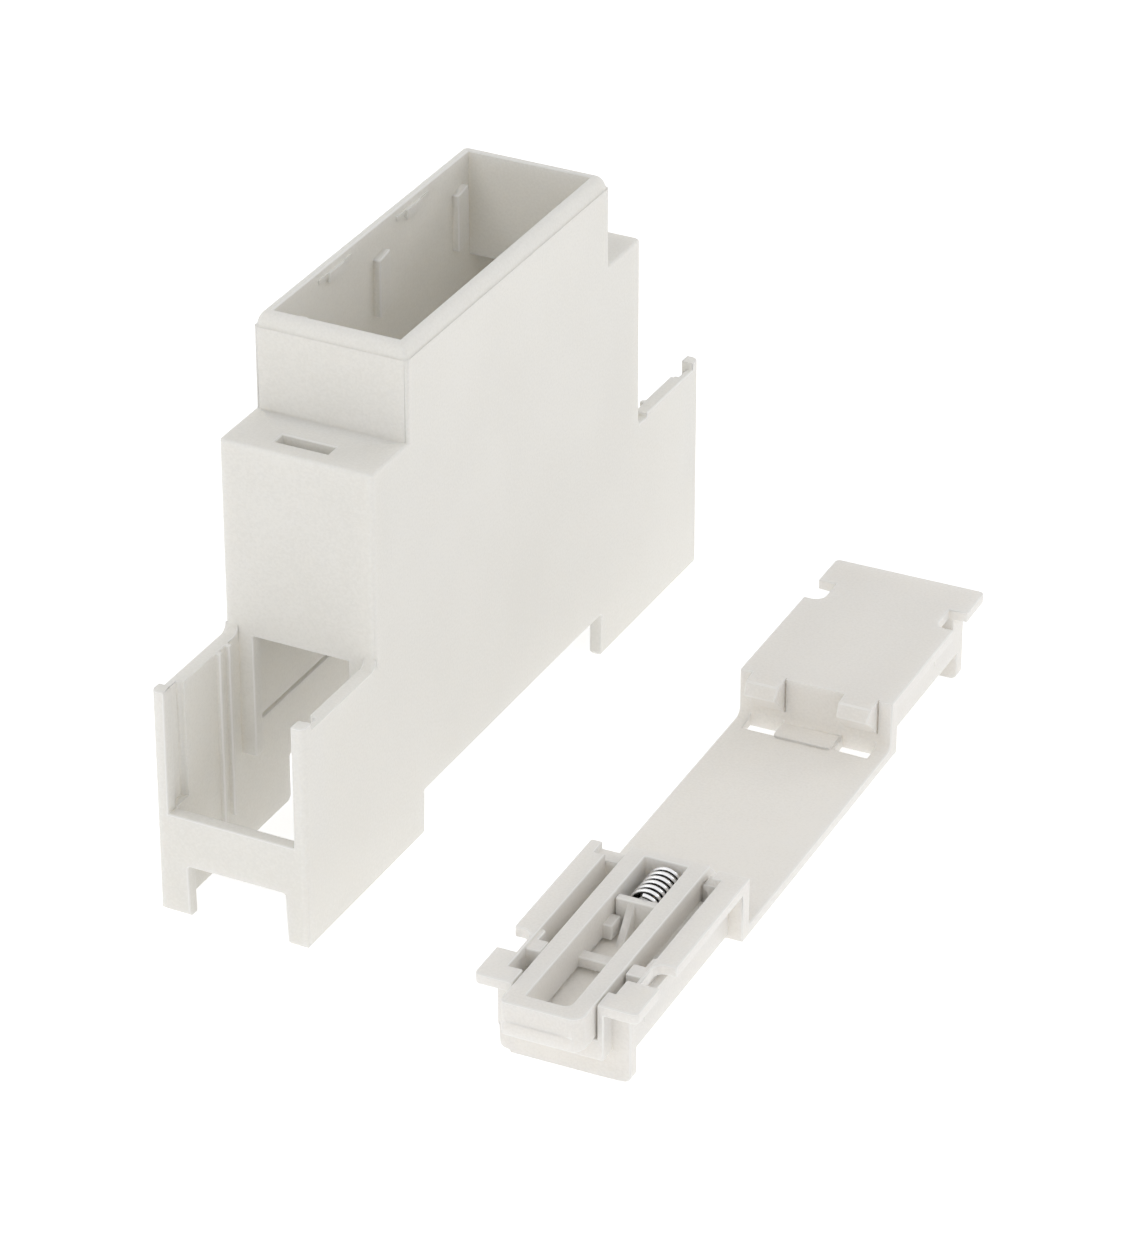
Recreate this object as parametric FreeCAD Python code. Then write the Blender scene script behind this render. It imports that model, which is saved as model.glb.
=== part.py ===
import FreeCAD, Part
import math
import os

from FreeCAD import Vector

# One-module enclosure for a 35 mm mounting rail, taken apart as it is sold: the stepped
# housing stands on its legs, and its foot lies beside it with the rail side up.
# Millimetres. The housing is drawn with X across, Y from its near end to its far end and
# Z up from the ends of its legs. The foot is drawn in a frame of its own, of the same
# directions, whose origin is the near left corner of its flange at the height of the table.

# Housing: outline
MODULE_WIDTH = 17.5
HOUSING_LENGTH = 90.0
MIDDLE_LENGTH = 60.0
NOSE_LENGTH = 45.0
HOUSING_HEIGHT = 58.0
SHOULDER_HEIGHT = 47.3
BAY_HEIGHT = 25.2
WALL = 1.5
CORNER_RADIUS = 0.5
BAY_CORNER_RADIUS = 0.8
NOSE_CROWN_HEIGHT = 1.5
NOSE_CROWN_INSET = 0.9
NOSE_CREASE = 0.12
NOSE_CROWN_START = 20.0
CROWN_STEPS = 4
SHOULDER_CROWN = 0.3

# Housing: end walls, legs and the gap between them that lets the rail through
END_BAR_LOW = 6.1
END_BAR_HIGH = 11.8
END_NOTCH_LEFT_POST = 3.5
END_NOTCH_RIGHT_POST = 2.7
END_NOTCH_DRAFT = 0.3
NOTCH_CORNER = 0.3
POST_RISE = 0.8
POST_DEPTH = 1.6
FAR_DIP_DEPTH = 0.9
FAR_DIP_LENGTH = 1.9
NEAR_FILLET = 1.0
LEG_CHAMFER = 0.5
LEG_RADIUS = 0.6
LEG_DRAFT = 0.12
LEG_DRAFT_HEIGHT = 5.9

# Housing: inside
STRIP_WIDTH = 1.7
STRIP_BOTTOM = 10.9
END_GROOVE_WIDTH = 2.3
END_GROOVE_DEPTH = 0.8
END_SLIT_WIDTH = 0.3
END_SLIT_DEPTH = 0.35
BOARD_RIB_WIDTH = 0.6
BOARD_RIB_PROUD = 0.5
BOARD_RIB_SETBACK = 3.9
BOARD_RIB_PITCH = 1.9
BOARD_RIB_BOTTOM = 4.9
LINE_GROOVE_SETBACK = 3.7
LINE_GROOVE_HEIGHT = 12.9
LINE_GROOVE_SIZE = 0.45
RIB_PITCH = 17.4
RIB_PROUD = 0.8
RIB_WIDTH = 2.3
RIB_SHIFT = 0.2
RIB_LOW = 47.8
RIB_HIGH = 54.8
SNAP_PITCH = 16.6
SNAP_LENGTH = 3.2
SNAP_LIP_LENGTH = 7.0
SNAP_PROUD = 0.35
SNAP_LIP_PROUD = 0.15
SNAP_HEIGHT = 1.1
SNAP_DROP = 0.8
SLOT_WIDTH = 6.1
SLOT_LENGTH = 1.7
SLOT_SETBACK = 2.0
SLOT_OFFSET = 0.4

# Foot: stepped flange that closes the underside of the housing
FLANGE_OVERHANG = 0.4
FLANGE = 1.2
FOOT_HEIGHT = 9.7
RAIL_DEPTH = 5.5
RAIL_SPACE_START = 27.0
RAIL_SPACE = 37.3
STEP_WALL = 1.7
STEP_FILLET = 1.0
FIT = 0.1
SKIRT = 0.9
SKIRT_BOTTOM = 3.4
END_PLATE = 1.5
END_PLATE_RADIUS = 0.8
FLANGE_RADIUS = 0.6
FLANGE_NOTCH_START = 5.2
FLANGE_NOTCH_LENGTH = 4.0
FLANGE_NOTCH_DEPTH = 2.1
FLANGE_NOTCH_RADIUS = 1.2
SKIRT_GAP_MORE = 1.2

# Foot: fixed hooks that hold the far edge of the rail
HOOK_REACH = 2.3
HOOK_LEFT_INSET = 1.4
HOOK_RIGHT_INSET = 1.7
HOOK_WIDTH = 3.8
HOOK_TOP_LENGTH = 1.7
HOOK_TOP_DROP = 0.2
HOOK_LIP_BOTTOM = 8.0
HOOK_LIP_THICKNESS = 0.4
HOOK_BOTTOM = 5.7
HOOK_SIDE_CHAMFER = 0.3
HOOK_RELIEF = 0.15
HOOK_WINDOW_LENGTH = 2.9
PAD_HEIGHT = 0.3
PAD_LENGTH = 3.1
PAD_RADIUS = 0.5

# Foot: cradle of the sliding latch
LATCH_WIDTH = 8.7
LATCH_OFFSET = 0.1
LATCH_THICKNESS = 3.9
LATCH_GAP = 0.2
MOUTH_CHEEK = 0.7
MOUTH_BOTTOM = 3.3
MOUTH_LIP = 2.6
CRADLE_FLOOR = 1.0
CRADLE_DEPTH = 4.3
CHANNEL_LEFT = 2.5
CHANNEL_INSET_RIGHT = 3.5
GUIDE_START = 6.5
GUIDE_LENGTH = 2.0
GUIDE_DROP = 0.3
GUIDE_THICKNESS = 2.2
TAB_LENGTH = 1.8
TAB_REACH = 0.5
TAB_RADIUS = 0.4
STOP_LENGTH = 0.3
LEDGE_DROP = 0.8
LEDGE_INSET = 1.3
PLATE_RECESS = 0.3
PLATE_RECESS_LEFT = 2.9
PLATE_RECESS_TOP = 3.0

# Latch and its spring
LATCH_TRAVEL = 2.6
HEAD_REACH = 3.3
HEAD_BAR = 1.9
HEAD_RADIUS = 1.4
HEAD_STEP_HEIGHT = 1.6
HEAD_STEP_DEPTH = 0.08
SIDE_BAR = 2.0
WINDOW_END = 26.3
WINDOW_RADIUS = 0.2
WINDOW_NEAR_RADIUS = 0.8
NOSE_LAND = 1.1
NOSE_REACH = 3.6
NOSE_TIP_HEIGHT = 1.1
NOSE_TIP_RADIUS = 0.4
WING_REACH = 0.7
WING_HEIGHT = 1.2
CROSS_BAR_START = 10.5
CROSS_BAR_WIDTH = 1.4
CROSS_BAR_HEIGHT = 1.25
LUG_START = 16.2
LUG_LENGTH = 2.2
LUG_WIDTH = 1.0
LUG_HEIGHT = 1.7
STOP_GAP = 0.1
SEAT_FACE = 19.7
SEAT_THICKNESS = 0.95
SEAT_HEIGHT = 3.8
GUSSET_LENGTH = 3.0
GUSSET_THICKNESS = 0.85
SPIGOT_RADIUS = 1.1
SPIGOT_LENGTH = 1.2
EJECTOR_RADIUS = 1.2
EJECTOR_DEPTH = 0.12
EJECTOR_Y = 7.6
SPRING_OUTER_RADIUS = 1.9
SPRING_OFFSET = 0.25
WIRE_RADIUS = 0.21
SPRING_TURNS = 6.5
SPRING_STEPS = 20
WIRE_SIDES = 8

# Where the foot lies beside the housing
FOOT_X = 40.9
FOOT_Y = -8.8
FOOT_TURN = 1.6

# Worked out from the sizes above
MID_START = (HOUSING_LENGTH - MIDDLE_LENGTH) / 2
MID_END = HOUSING_LENGTH - MID_START
NOSE_START = (HOUSING_LENGTH - NOSE_LENGTH) / 2
NOSE_END = HOUSING_LENGTH - NOSE_START
INNER_RIGHT = MODULE_WIDTH - WALL
FOOT_LENGTH = HOUSING_LENGTH + 2 * FLANGE_OVERHANG
RAIL_SPACE_END = RAIL_SPACE_START + RAIL_SPACE
SEAT_LEVEL = FOOT_HEIGHT - RAIL_DEPTH
FLANGE_UNDERSIDE = FOOT_HEIGHT - FLANGE
SKIRT_INSET = WALL + FIT
PLATE_START = FLANGE_OVERHANG + WALL + FIT
LEG_GAP_START = RAIL_SPACE_START - FLANGE_OVERHANG - STEP_WALL - 2 * FIT
LEG_GAP_END = RAIL_SPACE_END - FLANGE_OVERHANG + STEP_WALL + 2 * FIT
LATCH_MIDDLE = MODULE_WIDTH / 2 - LATCH_OFFSET
LATCH_LEFT = LATCH_MIDDLE - LATCH_WIDTH / 2
LATCH_RIGHT = LATCH_MIDDLE + LATCH_WIDTH / 2
CHANNEL_RIGHT = MODULE_WIDTH - CHANNEL_INSET_RIGHT
LATCH_BOTTOM = FOOT_HEIGHT - LATCH_THICKNESS
SLOT_FLOOR = LATCH_BOTTOM - LATCH_GAP
CRADLE_TOP = FOOT_HEIGHT - CRADLE_DEPTH
STOP_START = RAIL_SPACE_START - STEP_WALL - STOP_LENGTH
GUIDE_END = GUIDE_START + GUIDE_LENGTH
GUIDE_TOP = FOOT_HEIGHT - GUIDE_DROP
LEDGE_TOP = FOOT_HEIGHT - LEDGE_DROP
WING_START = PLATE_START + END_PLATE + LATCH_TRAVEL + STOP_GAP
WING_END = STOP_START - STOP_GAP
WING_TOP = LATCH_BOTTOM + WING_HEIGHT
SPRING_HEIGHT = LATCH_BOTTOM + LATCH_THICKNESS / 2 - STOP_GAP
SPRING_MIDDLE = LATCH_MIDDLE + SPRING_OFFSET

PAST = 1.0


def block(x, y, z):
    size = (x[1] - x[0], y[1] - y[0], z[1] - z[0])
    return Part.makeBox(size[0], size[1], size[2], Vector(x[0], y[0], z[0]))


def wire_of(points, radii=None):
    """Closed wire through points, each corner rounded by its radius where it has one."""
    count = len(points)
    radii = radii or {}
    starts, ends, arcs = [], [], []
    for i in range(count):
        here = points[i]
        radius = radii.get(i, 0)
        if not radius:
            starts.append(here)
            ends.append(here)
            arcs.append(None)
            continue
        before = (points[i - 1] - here).normalize()
        after = (points[(i + 1) % count] - here).normalize()
        half = before.getAngle(after) / 2
        reach = radius / math.tan(half)
        towards = (before + after).normalize()
        middle = here + towards * (radius / math.sin(half) - radius)
        first = here + before * reach
        last = here + after * reach
        starts.append(first)
        ends.append(last)
        arcs.append(Part.Arc(first, middle, last).toShape())
    edges = []
    for i in range(count):
        if arcs[i]:
            edges.append(arcs[i])
        edges.append(Part.makeLine(ends[i], starts[(i + 1) % count]))
    return Part.Wire(edges)


def prism_x(outline, x, radii=None):
    """Outline of (y, z) points, extruded across the module."""
    wire = wire_of([Vector(x[0], y, z) for y, z in outline], radii)
    return Part.Face(wire).extrude(Vector(x[1] - x[0], 0, 0))


def prism_z(outline, z, radii=None):
    """Outline of (x, y) points, extruded upwards."""
    wire = wire_of([Vector(x, y, z[0]) for x, y in outline], radii)
    return Part.Face(wire).extrude(Vector(0, 0, z[1] - z[0]))


def rectangle(x, y):
    return [(x[0], y[0]), (x[1], y[0]), (x[1], y[1]), (x[0], y[1])]


def rounded_block(x, y, z, radius):
    return prism_z(rectangle(x, y), z, {i: radius for i in range(4)})


def join(first, others):
    return first.fuse(others).removeSplitter()


def crowned_block(x, y, z, radius, crown_height, crown_inset, first_angle=0, crease=0):
    """Rounded block whose top edge curves inwards, behind a narrow ledge where it has a crease."""
    foot = z[1] - crown_height
    sections = []
    start = math.radians(first_angle)
    for k in range(CROWN_STEPS + 1):
        angle = start + (math.pi / 2 - start) * k / CROWN_STEPS
        rise = crown_height * (math.sin(angle) - math.sin(start)) / (1 - math.sin(start))
        inset = crease + crown_inset * (math.cos(start) - math.cos(angle)) / math.cos(start)
        corners = rectangle((x[0] + inset, x[1] - inset), (y[0] + inset, y[1] - inset))
        points = [Vector(px, py, foot + rise) for px, py in corners]
        sections.append(wire_of(points, {i: radius for i in range(4)}))
    crown = Part.makeLoft(sections, True, False)
    return rounded_block(x, y, (z[0], foot), radius).fuse(crown)


def both_ends(y):
    """The stretch y and its mirror image at the far end of the housing."""
    return [y, (HOUSING_LENGTH - y[1], HOUSING_LENGTH - y[0])]


def both_sides(x):
    """The stretch x and its mirror image at the other side of the module."""
    return [x, (MODULE_WIDTH - x[1], MODULE_WIDTH - x[0])]


def housing_outside():
    width = (0, MODULE_WIDTH)
    bays = rounded_block(width, (0, HOUSING_LENGTH), (0, BAY_HEIGHT), BAY_CORNER_RADIUS)
    middle = crowned_block(
        width, (MID_START, MID_END), (0, SHOULDER_HEIGHT),
        CORNER_RADIUS, SHOULDER_CROWN, SHOULDER_CROWN)
    nose = crowned_block(
        width, (NOSE_START, NOSE_END), (0, HOUSING_HEIGHT),
        CORNER_RADIUS, NOSE_CROWN_HEIGHT, NOSE_CROWN_INSET, NOSE_CROWN_START, NOSE_CREASE)
    return join(bays, [middle, nose] + corner_posts() + near_fillets())


def corner_posts():
    """Raised ends of the bays' side walls."""
    post_z = (BAY_HEIGHT - PAST, BAY_HEIGHT + POST_RISE)
    posts = []
    for y in both_ends((0, POST_DEPTH)):
        for x in both_sides((0, WALL)):
            outer = (0, 3) if x[0] == 0 else (1, 2)
            corner = outer[0] if y[0] == 0 else outer[1]
            posts.append(prism_z(rectangle(x, y), post_z, {corner: BAY_CORNER_RADIUS}))
    return posts


def near_fillets():
    """Small hollow curves where the near bay's side walls meet the middle tier."""
    start = MID_START - NEAR_FILLET
    top = BAY_HEIGHT + NEAR_FILLET
    fillets = []
    for x in both_sides((0, WALL)):
        corner = block(x, (start, MID_START + FIT), (BAY_HEIGHT - FIT, top))
        axis = Vector(x[0] - PAST, start, top)
        hollow = Part.makeCylinder(NEAR_FILLET, WALL + 2 * PAST, axis, Vector(1, 0, 0))
        fillets.append(corner.cut(hollow))
    return fillets


def housing_hollow():
    """Room inside the walls: under the shoulders, under the nose, and the two open bays."""
    inside = (WALL, INNER_RIGHT)
    roof = SHOULDER_HEIGHT - WALL
    low = rounded_block(
        inside, (WALL, HOUSING_LENGTH - WALL), (-PAST, BAY_HEIGHT), CORNER_RADIUS)
    middle = block(inside, (MID_START + WALL, MID_END - WALL), (-PAST, roof))
    nose = block(inside, (NOSE_START + WALL, NOSE_END - WALL), (-PAST, HOUSING_HEIGHT + PAST))
    open_z = (END_BAR_HIGH, BAY_HEIGHT + NEAR_FILLET + PAST)
    bays = [block(inside, y, open_z) for y in both_ends((-PAST, MID_START))]
    return low.fuse([middle, nose] + bays)


def end_notches():
    """Gaps under the end bars, a little wider at the ends of the legs."""
    left = END_NOTCH_LEFT_POST
    right = MODULE_WIDTH - END_NOTCH_RIGHT_POST
    outline = [
        (left, END_BAR_LOW),
        (right, END_BAR_LOW),
        (right + END_NOTCH_DRAFT, -PAST),
        (left + END_NOTCH_DRAFT / 2, -PAST)]
    cuts = []
    for y in both_ends((-PAST, WALL + PAST)):
        points = [Vector(x, y[0], z) for x, z in outline]
        wire = wire_of(points, {0: NOTCH_CORNER, 1: NOTCH_CORNER})
        cuts.append(Part.Face(wire).extrude(Vector(0, y[1] - y[0], 0)))
    return cuts


def leg_gap():
    """Gap through both side walls where the rail and the foot's rail seat pass."""
    outline = [
        (LEG_GAP_START, -PAST), (LEG_GAP_END, -PAST),
        (LEG_GAP_END, RAIL_DEPTH), (LEG_GAP_START, RAIL_DEPTH)]
    return prism_x(outline, (-PAST, MODULE_WIDTH + PAST), {2: NOTCH_CORNER, 3: NOTCH_CORNER})


def leg_shaping():
    """What the legs' draft and rounded edges take off, and the chamfers of their ends."""
    top = HOUSING_HEIGHT + PAST
    profile = [
        Vector(LEG_DRAFT, -PAST, 0), Vector(MODULE_WIDTH - LEG_DRAFT, -PAST, 0),
        Vector(MODULE_WIDTH, -PAST, LEG_DRAFT_HEIGHT), Vector(MODULE_WIDTH, -PAST, top),
        Vector(0, -PAST, top), Vector(0, -PAST, LEG_DRAFT_HEIGHT)]
    kept = Part.Face(wire_of(profile, {0: LEG_RADIUS, 1: LEG_RADIUS}))
    along = (-PAST, HOUSING_LENGTH + PAST)
    around = block((-PAST, MODULE_WIDTH + PAST), along, (-PAST, top))
    cuts = [around.cut(kept.extrude(Vector(0, along[1] - along[0], 0)))]
    corners = (0, LEG_GAP_START, LEG_GAP_END, HOUSING_LENGTH)
    for corner, inward in zip(corners, (1, -1, 1, -1)):
        outline = [
            (corner - inward * PAST, -PAST),
            (corner + inward * (LEG_CHAMFER + PAST), -PAST),
            (corner - inward * PAST, LEG_CHAMFER + PAST)]
        cuts.append(prism_x(outline, (-PAST, MODULE_WIDTH + PAST)))
    return cuts


def wall_grooves():
    """Upright grooves near the ends of the bays, and the level line groove between the bays."""
    cuts = []
    open_z = (END_BAR_HIGH, BAY_HEIGHT + PAST)
    groove_end = WALL + END_GROOVE_WIDTH
    for x in both_sides((WALL - END_GROOVE_DEPTH, WALL + PAST)):
        for y in both_ends((WALL, groove_end)):
            cuts.append(block(x, y, open_z))
    for x in both_sides((WALL - END_SLIT_DEPTH, WALL + PAST)):
        for y in both_ends((groove_end - FIT, groove_end + END_SLIT_WIDTH)):
            cuts.append(block(x, y, open_z))
    line = (MID_START + LINE_GROOVE_SETBACK, MID_END - LINE_GROOVE_SETBACK)
    level = (LINE_GROOVE_HEIGHT, LINE_GROOVE_HEIGHT + LINE_GROOVE_SIZE)
    for x in both_sides((WALL - LINE_GROOVE_SIZE, WALL + PAST)):
        cuts.append(block(x, line, level))
    return cuts


def far_dips():
    """Both side walls are a little lower beside the middle tier's far end."""
    dip = (MID_END, MID_END + FAR_DIP_LENGTH)
    z = (BAY_HEIGHT - FAR_DIP_DEPTH, BAY_HEIGHT + PAST)
    return [block(x, dip, z) for x in both_sides((-PAST, WALL + PAST))]


def shoulder_slots():
    start = MID_START + SLOT_SETBACK
    left = (MODULE_WIDTH - SLOT_WIDTH) / 2 - SLOT_OFFSET
    x = (left, left + SLOT_WIDTH)
    z = (SHOULDER_HEIGHT - WALL - PAST, SHOULDER_HEIGHT + PAST)
    return [block(x, y, z) for y in both_ends((start, start + SLOT_LENGTH))]


def upright_ribs():
    """Locating ribs inside the nose's side walls, with chamfered ends."""
    ribs = []
    middle = HOUSING_LENGTH / 2
    for x in both_sides((WALL - FIT, WALL + RIB_PROUD)):
        for k in (-1, 0, 1):
            near = middle + k * RIB_PITCH - RIB_SHIFT
            far = near + RIB_WIDTH
            outline = [
                (near, RIB_LOW), (far, RIB_LOW + RIB_PROUD),
                (far, RIB_HIGH), (near, RIB_HIGH - RIB_PROUD / 2)]
            ribs.append(prism_x(outline, x))
    return ribs


def snap_ledges():
    """Small ledges under the rim that catch the front cover."""
    top = HOUSING_HEIGHT - SNAP_DROP
    middle = HOUSING_LENGTH / 2
    ledges = []
    for k in (-0.5, 0.5):
        centre = middle + k * SNAP_PITCH
        shapes = (
            (SNAP_LENGTH, SNAP_PROUD, SNAP_HEIGHT),
            (SNAP_LIP_LENGTH, SNAP_LIP_PROUD, SNAP_HEIGHT / 2))
        for length, proud, height in shapes:
            for x in both_sides((WALL - FIT, WALL + proud)):
                y = (centre - length / 2, centre + length / 2)
                ledges.append(block(x, y, (top - height, top)))
    return ledges


def bay_strips():
    """Narrow strips beside each bay that carry the middle tier's end wall downwards."""
    strips = []
    for x in both_sides((WALL - FIT, WALL + STRIP_WIDTH)):
        for y in both_ends((MID_START, MID_START + WALL)):
            strips.append(block(x, y, (STRIP_BOTTOM, BAY_HEIGHT + WALL)))
    return strips


def board_ribs():
    """Pairs of upright ribs in both bays that hold the ends of a circuit board."""
    ribs = []
    last = MID_START - BOARD_RIB_SETBACK - BOARD_RIB_WIDTH
    for x in both_sides((WALL - FIT, WALL + BOARD_RIB_PROUD)):
        for start in (last - BOARD_RIB_PITCH, last):
            for y in both_ends((start, start + BOARD_RIB_WIDTH)):
                ribs.append(block(x, y, (BOARD_RIB_BOTTOM, BAY_HEIGHT)))
    return ribs


def housing_shell():
    shell = housing_outside().cut(housing_hollow())
    shell = shell.fuse(bay_strips() + upright_ribs() + snap_ledges() + board_ribs())
    cuts = end_notches() + [leg_gap()] + leg_shaping() + wall_grooves()
    return shell.cut(cuts + far_dips() + shoulder_slots()).removeSplitter()


def stepped_flange():
    """One plate that follows the housing's underside: two blocks and the rail seat between."""
    outline = [
        (0, FOOT_HEIGHT),
        (RAIL_SPACE_START, FOOT_HEIGHT),
        (RAIL_SPACE_START, SEAT_LEVEL),
        (RAIL_SPACE_END, SEAT_LEVEL),
        (RAIL_SPACE_END, FOOT_HEIGHT),
        (FOOT_LENGTH, FOOT_HEIGHT),
        (FOOT_LENGTH, FLANGE_UNDERSIDE),
        (RAIL_SPACE_END + STEP_WALL, FLANGE_UNDERSIDE),
        (RAIL_SPACE_END + STEP_WALL, SEAT_LEVEL - FLANGE),
        (RAIL_SPACE_START - STEP_WALL, SEAT_LEVEL - FLANGE),
        (RAIL_SPACE_START - STEP_WALL, FLANGE_UNDERSIDE),
        (0, FLANGE_UNDERSIDE)]
    return prism_x(outline, (0, MODULE_WIDTH), {3: STEP_FILLET})


def notch_lengths(more):
    """Stretches of the edge notches at both ends, made longer towards the middle by more."""
    start = FLANGE_NOTCH_START
    end = start + FLANGE_NOTCH_LENGTH + more
    return [(start, end), (FOOT_LENGTH - end, FOOT_LENGTH - start)]


def flange_corners():
    """What the rounded corners and the four edge notches take off the flange."""
    plan = rectangle((0, MODULE_WIDTH), (0, FOOT_LENGTH))
    rounded = prism_z(plan, (0, FOOT_HEIGHT + PAST), {i: FLANGE_RADIUS for i in range(4)})
    wide = rectangle((-PAST, MODULE_WIDTH + PAST), (-PAST, FOOT_LENGTH + PAST))
    cuts = [prism_z(wide, (0, FOOT_HEIGHT + PAST)).cut(rounded)]
    for x in both_sides((-PAST, FLANGE_NOTCH_DEPTH)):
        inner = (1, 2) if x[0] < 0 else (0, 3)
        for y in notch_lengths(0):
            corner = inner[1] if y[0] == FLANGE_NOTCH_START else inner[0]
            notch_z = (FLANGE_UNDERSIDE - FIT, FOOT_HEIGHT + PAST)
            cuts.append(prism_z(rectangle(x, y), notch_z, {corner: FLANGE_NOTCH_RADIUS}))
    return cuts


def end_plate(y):
    """Upright plate that stands inside the housing's end wall."""
    outline = [
        (SKIRT_INSET, 0), (MODULE_WIDTH - SKIRT_INSET, 0),
        (MODULE_WIDTH - SKIRT_INSET, FLANGE_UNDERSIDE), (SKIRT_INSET, FLANGE_UNDERSIDE)]
    points = [Vector(x, y[0], z) for x, z in outline]
    wire = wire_of(points, {0: END_PLATE_RADIUS, 1: END_PLATE_RADIUS})
    return Part.Face(wire).extrude(Vector(0, y[1] - y[0], 0))


def skirts():
    """Side walls that stand inside the housing's side walls, cut lower at the edge notches."""
    whole = (SKIRT_BOTTOM, FLANGE_UNDERSIDE)
    low = (SKIRT_BOTTOM, CRADLE_TOP)
    near_gap, far_gap = notch_lengths(SKIRT_GAP_MORE)
    lengths = (
        (PLATE_START, near_gap[0]), (near_gap[1], RAIL_SPACE_START - FIT),
        (RAIL_SPACE_END + FIT, far_gap[0]), (far_gap[1], FOOT_LENGTH - PLATE_START))
    walls = []
    for x in both_sides((SKIRT_INSET, SKIRT_INSET + SKIRT)):
        walls.extend(block(x, y, whole) for y in lengths)
        walls.extend(block(x, y, low) for y in (near_gap, far_gap))
    return walls


def cradle():
    """Floor under the latch, the mouth round its head, and the spring's seat."""
    skirt_inner = (SKIRT_INSET + SKIRT - FIT, MODULE_WIDTH - SKIRT_INSET - SKIRT + FIT)
    floor = block(
        skirt_inner,
        (PLATE_START + END_PLATE - FIT, RAIL_SPACE_START - FIT),
        (CRADLE_TOP - CRADLE_FLOOR, CRADLE_TOP))
    mouth = block(
        (LATCH_LEFT - LATCH_GAP - MOUTH_CHEEK, LATCH_RIGHT + LATCH_GAP + MOUTH_CHEEK),
        (0, PLATE_START + FIT),
        (MOUTH_BOTTOM, FOOT_HEIGHT - FIT))
    return [floor, mouth]


def cradle_room():
    """Room in the near block for the latch and the two open channels beside it."""
    latch_slot = block(
        (LATCH_LEFT - LATCH_GAP, LATCH_RIGHT + LATCH_GAP),
        (-PAST, RAIL_SPACE_START + PAST),
        (SLOT_FLOOR, FOOT_HEIGHT + PAST))
    channel_end = RAIL_SPACE_START - STEP_WALL
    skirt_right = MODULE_WIDTH - SKIRT_INSET - SKIRT
    plan = [
        (CHANNEL_LEFT, MOUTH_LIP),
        (CHANNEL_RIGHT, MOUTH_LIP),
        (CHANNEL_RIGHT, FLANGE_NOTCH_START),
        (skirt_right, FLANGE_NOTCH_START),
        (skirt_right, channel_end),
        (CHANNEL_LEFT, channel_end)]
    channels = prism_z(plan, (FLANGE_UNDERSIDE - FIT, FOOT_HEIGHT + PAST))
    below = block(
        (SKIRT_INSET + SKIRT, skirt_right),
        (PLATE_START + END_PLATE, channel_end),
        (CRADLE_TOP, FLANGE_UNDERSIDE))
    return [latch_slot, channels, below]


def far_ledges():
    """Lowered tops of the step wall at both sides of the latch."""
    left = (LEDGE_INSET, LATCH_LEFT)
    right = (LATCH_RIGHT, CHANNEL_RIGHT)
    y = (STOP_START - FIT, RAIL_SPACE_START + PAST)
    return [block(x, y, (LEDGE_TOP, FOOT_HEIGHT + PAST)) for x in (left, right)]


def latch_guides():
    """Blocks that hold the latch's wings down, with rounded tabs behind them, and the stops."""
    left = (SKIRT_INSET + SKIRT - FIT, LATCH_LEFT - LATCH_GAP)
    right = (LATCH_RIGHT + LATCH_GAP, MODULE_WIDTH - SKIRT_INSET - SKIRT + FIT)
    guide_z = (GUIDE_TOP - GUIDE_THICKNESS, GUIDE_TOP)
    stop = (STOP_START, RAIL_SPACE_START - STEP_WALL + FIT)
    tab = (GUIDE_END - FIT, GUIDE_END + TAB_LENGTH)
    parts = []
    for x in (left, right):
        parts.append(block(x, (GUIDE_START, GUIDE_END), guide_z))
        parts.append(block(x, stop, (CRADLE_TOP - FIT, LEDGE_TOP)))
    tab_left = (left[0], left[0] + FIT + TAB_REACH)
    tab_right = (right[1] - FIT - TAB_REACH, right[1])
    parts.append(prism_z(rectangle(tab_left, tab), guide_z, {2: TAB_RADIUS}))
    parts.append(prism_z(rectangle(tab_right, tab), guide_z, {3: TAB_RADIUS}))
    return parts


def spring_seat():
    """Upright plate with a gusset and a spigot, standing in the latch's window."""
    window = (LATCH_LEFT + SIDE_BAR + LATCH_GAP, LATCH_RIGHT - SIDE_BAR - LATCH_GAP / 2)
    base = CRADLE_TOP - FIT
    back = SEAT_FACE - SEAT_THICKNESS
    top = CRADLE_TOP + SEAT_HEIGHT
    seat = block(window, (back, SEAT_FACE), (base, top))
    gusset_x = (LATCH_MIDDLE - GUSSET_THICKNESS, LATCH_MIDDLE)
    outline = [(back + FIT, base), (back + FIT, top - LATCH_GAP), (back - GUSSET_LENGTH, base)]
    gusset = prism_x(outline, gusset_x)
    return [seat, gusset, spigot_at(SEAT_FACE - FIT, 1)]


def spigot_at(y, direction):
    start = Vector(SPRING_MIDDLE, y, SPRING_HEIGHT)
    return Part.makeCylinder(SPIGOT_RADIUS, SPIGOT_LENGTH + FIT, start, Vector(0, direction, 0))


def ejector_mark():
    """Shallow round mark that the mould leaves on the cradle's floor."""
    centre = Vector(LATCH_RIGHT - SIDE_BAR - EJECTOR_RADIUS, EJECTOR_Y, CRADLE_TOP - EJECTOR_DEPTH)
    return Part.makeCylinder(EJECTOR_RADIUS, PAST, centre)


def hook_lefts():
    return (HOOK_LEFT_INSET, MODULE_WIDTH - HOOK_RIGHT_INSET - HOOK_WIDTH)


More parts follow.
